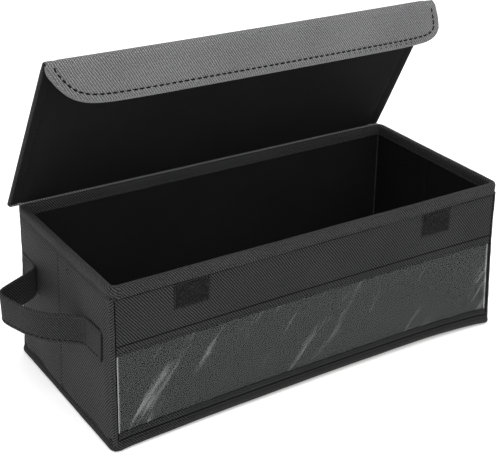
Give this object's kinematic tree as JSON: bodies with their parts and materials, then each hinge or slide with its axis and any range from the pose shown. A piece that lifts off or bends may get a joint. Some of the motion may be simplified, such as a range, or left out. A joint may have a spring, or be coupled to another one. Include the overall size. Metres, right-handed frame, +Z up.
{
  "type": "soft-sided storage box",
  "caption": "Rectangular fabric storage box with board-stiffened walls, a flip-over lid with a closing flap, a clear front window and a strap handle on each short side.",
  "frame": {"origin": "middle of the footprint, on the surface the box stands on", "axes": "+X along the length, to the right as one faces the window; the window faces -Y; +Z up"},
  "size_m": [0.4346, 0.1622, 0.2721],
  "materials": {
    "outer_fabric": "embossed charcoal non-woven fabric with a fine diagonal lattice",
    "lining_fabric": "plain near-black non-woven lining",
    "stiffener_board": "grey pressed stiffener board, sewn in and hidden",
    "edge_tape": "folded charcoal fabric edge with lock stitching",
    "clear_film": "clear soft plastic film",
    "loop_pile": "black loop pile tape",
    "hook_tape": "black moulded hook tape"
  },
  "bodies": {
    "case": {"base_cover": "outer_fabric", "rear_cover": "outer_fabric", "rear_board": "stiffener_board", "rear_lining": "lining_fabric", "front_band_cover": "outer_fabric", "front_band_board": "stiffener_board", "front_band_lining": "lining_fabric", "window_film": "clear_film", "window_hem_top": "outer_fabric", "window_hem_bottom": "outer_fabric", "left_cover": "outer_fabric", "left_board_front": "stiffener_board", "left_board_rear": "stiffener_board", "left_lining": "lining_fabric", "right_cover": "outer_fabric", "right_board_front": "stiffener_board", "right_board_rear": "stiffener_board", "right_lining": "lining_fabric", "rim_hem_front": "edge_tape", "rim_hem_rear": "edge_tape", "rim_hem_left": "edge_tape", "rim_hem_right": "edge_tape", "bottom_binding_front": "edge_tape", "bottom_binding_rear": "edge_tape", "bottom_binding_left": "edge_tape", "bottom_binding_right": "edge_tape", "corner_seam_front_left": "edge_tape", "corner_seam_front_right": "edge_tape", "corner_seam_rear_left": "edge_tape", "corner_seam_rear_right": "edge_tape", "loop_patch_left": "loop_pile", "loop_patch_right": "loop_pile", "handle_left_tab_front": "outer_fabric", "handle_left_tab_rear": "outer_fabric", "handle_right_tab_front": "outer_fabric", "handle_right_tab_rear": "outer_fabric"},
    "base_insert": {"base_insert_board": "stiffener_board", "base_insert_cover": "lining_fabric"},
    "handle_left": {"handle_left_strap": "outer_fabric"},
    "handle_right": {"handle_right_strap": "outer_fabric"},
    "hinge_strip": {"lid_hinge_roll": "outer_fabric"},
    "lid": {"lid_cover": "outer_fabric", "lid_board": "stiffener_board", "lid_lining": "lining_fabric", "lid_binding_left": "edge_tape", "lid_binding_right": "edge_tape"},
    "fold_strip": {"flap_fold_strip": "outer_fabric"},
    "flap": {"flap_cover": "outer_fabric", "flap_board": "stiffener_board", "flap_lining": "lining_fabric", "flap_binding": "edge_tape", "hook_patch_left": "hook_tape", "hook_patch_right": "hook_tape"}
  },
  "joints": [
    {"name": "lid_back_hinge", "type": "hinge", "parent": "case", "child": "hinge_strip", "pos_m": [0, 0.0765, 0.134], "axis": [-1, 0, 0], "range_deg": [0, 111.6]},
    {"name": "lid_hinge", "type": "hinge", "parent": "hinge_strip", "child": "lid", "pos_m": [0, 0.0765, 0.134], "axis": [-1, 0, 0], "range_deg": [-60.4, 0]},
    {"name": "flap_fold", "type": "hinge", "parent": "lid", "child": "fold_strip", "pos_m": [0, -0.00312, 0.27126], "axis": [-1, 0, 0], "range_deg": [0, 60.41], "deforming": ["flap_fold_strip"]},
    {"name": "flap_hinge", "type": "hinge", "parent": "fold_strip", "child": "flap", "pos_m": [0, -0.00312, 0.27126], "axis": [-1, 0, 0], "range_deg": [-4.4, 160]},
    {"name": "handle_left_hinge", "type": "hinge", "parent": "case", "child": "handle_left", "pos_m": [-0.1783, 0, 0.079], "axis": [0, 1, 0], "range_deg": [-45, 45]},
    {"name": "handle_right_hinge", "type": "hinge", "parent": "case", "child": "handle_right", "pos_m": [0.1783, 0, 0.079], "axis": [0, -1, 0], "range_deg": [-45, 45]},
    {"name": "base_insert_lift", "type": "slide", "parent": "case", "child": "base_insert", "axis": [0, 0, 1], "range_m": [0, 0.105]}
  ],
  "couplings": [
    {"joint": "flap_fold", "follows": "lid_hinge", "ratio": -1}
  ]
}
